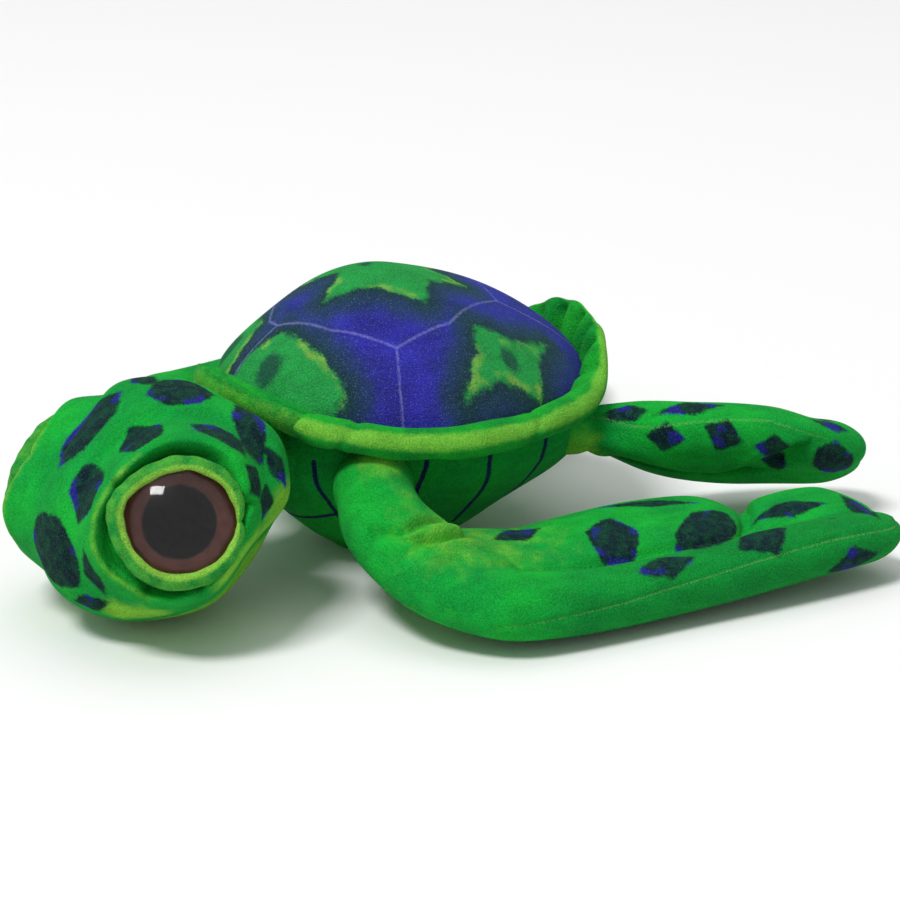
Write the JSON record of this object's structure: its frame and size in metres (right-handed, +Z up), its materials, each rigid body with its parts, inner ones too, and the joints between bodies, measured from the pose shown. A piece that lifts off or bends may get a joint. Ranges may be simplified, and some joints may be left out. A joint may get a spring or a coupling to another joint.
{
  "type": "plush turtle",
  "caption": "Soft stuffed sea turtle with a padded domed shell in a sewn rim, large clear domed eyes, long bent front flippers and short rear flippers; head and flippers turn.",
  "frame": {"origin": "on the flat of the belly that the toy rests on, under the middle of the body", "axes": "+Z up, -Y the way the turtle looks, +X its own left side"},
  "size_m": [0.2728, 0.289, 0.0941],
  "materials": {
    "skin_plush": "short green velour plush with printed spots",
    "head_plush": "short green velour plush with printed spots",
    "shell_plush": "short printed velour plush, purple with green scute figures",
    "rim_plush": "short green velour plush, lighter on the crest",
    "lid_plush": "short yellow-green velour plush",
    "eye_clear": "polished clear moulded plastic",
    "eye_brown": "gloss brown",
    "eye_black": "gloss black",
    "eye_washer": "natural nylon"
  },
  "bodies": {
    "body": {"torso": "skin_plush", "carapace": "shell_plush", "rim_left_roll": "rim_plush", "rim_right_roll": "rim_plush", "rim_front_collar": "rim_plush", "rim_rear_brim": "rim_plush"},
    "neck": {"neck": "skin_plush"},
    "head": {"head": "head_plush", "left_upper_lid": "lid_plush", "left_lower_lid": "lid_plush", "right_upper_lid": "lid_plush", "right_lower_lid": "lid_plush", "left_eye_lens": "eye_clear", "right_eye_lens": "eye_clear", "left_eye_iris": "eye_brown", "right_eye_iris": "eye_brown", "left_eye_backing": "eye_black", "right_eye_backing": "eye_black", "left_eye_washer": "eye_washer", "right_eye_washer": "eye_washer"},
    "left_arm": {"left_upper_arm": "skin_plush"},
    "left_blade": {"left_flipper_blade": "skin_plush"},
    "right_arm": {"right_upper_arm": "skin_plush"},
    "right_blade": {"right_flipper_blade": "skin_plush"},
    "left_rear": {"left_rear_flipper": "skin_plush"},
    "right_rear": {"right_rear_flipper": "skin_plush"}
  },
  "joints": [
    {"name": "neck_turn", "type": "hinge", "parent": "body", "child": "neck", "pos_m": [0.007, -0.053, 0.038], "axis": [0, 0, 1], "range_deg": [-36, 6]},
    {"name": "head_nod", "type": "hinge", "parent": "neck", "child": "head", "pos_m": [0.007, -0.053, 0.038], "axis": [0.9613, 0.2756, 0], "range_deg": [-6, 16]},
    {"name": "left_shoulder_lift", "type": "hinge", "parent": "body", "child": "left_arm", "pos_m": [0.045, -0.03, 0.034], "axis": [0, -1, 0], "range_deg": [-6, 32]},
    {"name": "left_elbow_sweep", "type": "hinge", "parent": "left_arm", "child": "left_blade", "pos_m": [0.085, -0.014, 0.013], "axis": [0, 0, -1], "range_deg": [0, 50]},
    {"name": "right_shoulder_lift", "type": "hinge", "parent": "body", "child": "right_arm", "pos_m": [-0.045, -0.03, 0.034], "axis": [-0.5, 0.866, 0], "range_deg": [-10, 24]},
    {"name": "right_elbow_sweep", "type": "hinge", "parent": "right_arm", "child": "right_blade", "pos_m": [-0.08935, -0.03713, 0.0173], "axis": [0.0905, 0.0523, 0.9945], "range_deg": [0, 50]},
    {"name": "left_hip_lift", "type": "hinge", "parent": "body", "child": "left_rear", "pos_m": [0.036, 0.052, 0.037], "axis": [0.9848, -0.1736, 0], "range_deg": [-12, 8]},
    {"name": "right_hip_lift", "type": "hinge", "parent": "body", "child": "right_rear", "pos_m": [-0.036, 0.052, 0.037], "axis": [0.7431, 0.6691, 0], "range_deg": [-12, 8]}
  ]
}
